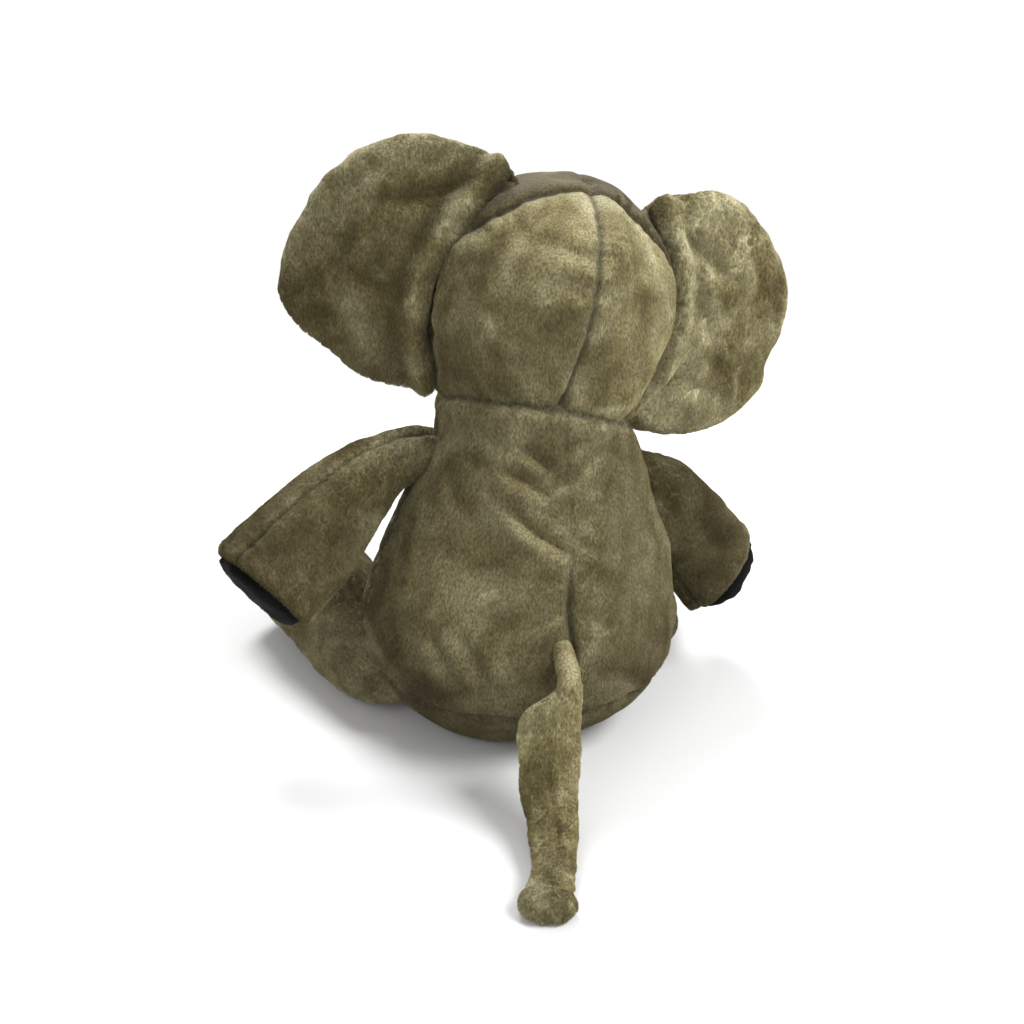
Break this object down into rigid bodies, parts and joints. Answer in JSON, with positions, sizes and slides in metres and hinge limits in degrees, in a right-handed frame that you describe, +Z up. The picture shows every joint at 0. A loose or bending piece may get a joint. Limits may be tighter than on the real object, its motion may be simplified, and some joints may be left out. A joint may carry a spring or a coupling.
{
  "type": "plush elephant",
  "caption": "Seated plush elephant with a pear-shaped body, tilted round head, big dished ears, trunk, stuffed arms and legs with dark soles, and a flat strap tail.",
  "frame": {"origin": "middle of the flat patch of the seat that rests on the table", "axes": "+Z up, -Y the way the elephant faces, +X its own left side"},
  "size_m": [0.2358, 0.253, 0.2311],
  "materials": {
    "plush": "short brushed pile",
    "suede": "matt, very short pile",
    "filling": "fluffy fibre",
    "lining": "plain weave",
    "pellets": "granules",
    "thread": "twisted thread",
    "eye": "polished",
    "washer": "moulded"
  },
  "bodies": {
    "torso": {"back_left_panel": "plush", "back_right_panel": "plush", "belly_panel": "plush", "seat_panel": "plush", "torso_filling": "filling", "pellet_pouch": "lining", "pellet_fill": "pellets", "closing_stitches": "thread"},
    "neck": {"neck_filling": "filling"},
    "head": {"head_back_left_panel": "plush", "head_back_right_panel": "plush", "face_left_panel": "plush", "face_right_panel": "plush", "head_filling": "filling", "eye_left": "eye", "eye_right": "eye", "eye_washer_left": "washer", "eye_washer_right": "washer"},
    "trunk": {"trunk_cover": "plush", "trunk_filling": "filling"},
    "trunk_tip": {"trunk_tip_cover": "plush", "trunk_tip_filling": "filling", "snout_patch": "suede"},
    "ear_left": {"ear_left_back_ply": "plush", "ear_left_batting": "filling", "ear_left_front_ply": "plush"},
    "ear_right": {"ear_right_back_ply": "plush", "ear_right_batting": "filling", "ear_right_front_ply": "plush"},
    "arm_left": {"arm_left_upper_panel": "plush", "arm_left_under_panel": "plush", "arm_left_filling": "filling", "arm_left_sole": "suede"},
    "arm_right": {"arm_right_upper_panel": "plush", "arm_right_under_panel": "plush", "arm_right_filling": "filling", "arm_right_sole": "suede"},
    "leg_left": {"leg_left_outer_panel": "plush", "leg_left_inner_panel": "plush", "leg_left_filling": "filling", "leg_left_sole": "suede"},
    "leg_right": {"leg_right_outer_panel": "plush", "leg_right_inner_panel": "plush", "leg_right_filling": "filling", "leg_right_sole": "suede"},
    "tail_root": {"tail_root": "plush"},
    "tail": {"tail_upper_ply": "plush", "tail_lower_ply": "plush", "tail_core": "filling", "tail_tuft": "plush"}
  },
  "joints": [
    {"name": "neck_turn", "type": "hinge", "parent": "torso", "child": "neck", "pos_m": [-0.0035, 0, 0.126], "axis": [-0.2711, -0.3314, 0.9037], "range_deg": [-35, 35], "stiffness_Nm_per_rad": 0.4},
    {"name": "head_nod", "type": "hinge", "parent": "neck", "child": "head", "pos_m": [-0.01137, -0.00562, 0.15637], "axis": [-0.9588, 0, -0.284], "range_deg": [-10, 14], "stiffness_Nm_per_rad": 0.7},
    {"name": "trunk_lift", "type": "hinge", "parent": "head", "child": "trunk", "pos_m": [-0.01002, -0.06954, 0.15308], "axis": [-0.9588, 0, -0.284], "range_deg": [-5, 45], "stiffness_Nm_per_rad": 0.06},
    {"name": "trunk_tip_curl", "type": "hinge", "parent": "trunk", "child": "trunk_tip", "pos_m": [-0.00679, -0.07854, 0.11753], "axis": [-0.9588, 0, -0.284], "range_deg": [-12, 36], "stiffness_Nm_per_rad": 0.03},
    {"name": "ear_left_fold", "type": "hinge", "parent": "head", "child": "ear_left", "pos_m": [0.03327, -0.0035, 0.18155], "axis": [-0.284, 0, 0.9588], "range_deg": [-24, 12], "stiffness_Nm_per_rad": 0.06},
    {"name": "ear_right_fold", "type": "hinge", "parent": "head", "child": "ear_right", "pos_m": [-0.06184, -0.0035, 0.15337], "axis": [0.284, 0, -0.9588], "range_deg": [-24, 12], "stiffness_Nm_per_rad": 0.06},
    {"name": "arm_left_lift", "type": "hinge", "parent": "torso", "child": "arm_left", "pos_m": [0.0415, 0, 0.118], "axis": [0, -1, 0], "range_deg": [-10, 35], "stiffness_Nm_per_rad": 0.12},
    {"name": "arm_right_lift", "type": "hinge", "parent": "torso", "child": "arm_right", "pos_m": [-0.06, 0.005, 0.098], "axis": [0, 1, 0], "range_deg": [-2, 45], "stiffness_Nm_per_rad": 0.12},
    {"name": "leg_left_lift", "type": "hinge", "parent": "torso", "child": "leg_left", "pos_m": [0.059, -0.0435, 0.0224], "axis": [-0.9367, -0.3502, 0], "range_deg": [0, 45], "stiffness_Nm_per_rad": 0.12},
    {"name": "leg_right_lift", "type": "hinge", "parent": "torso", "child": "leg_right", "pos_m": [-0.059, -0.0435, 0.0224], "axis": [-0.9367, 0.3502, 0], "range_deg": [0, 45], "stiffness_Nm_per_rad": 0.12},
    {"name": "tail_lift", "type": "hinge", "parent": "torso", "child": "tail_root", "pos_m": [0.004, 0.0638, 0.0525], "axis": [1, 0, 0], "range_deg": [0, 60], "stiffness_Nm_per_rad": 0.03},
    {"name": "tail_swing", "type": "hinge", "parent": "tail_root", "child": "tail", "pos_m": [0.0075, 0.0725, 0.0435], "axis": [0.22, 0.4601, 0.8602], "range_deg": [-25, 25], "stiffness_Nm_per_rad": 0.02}
  ]
}
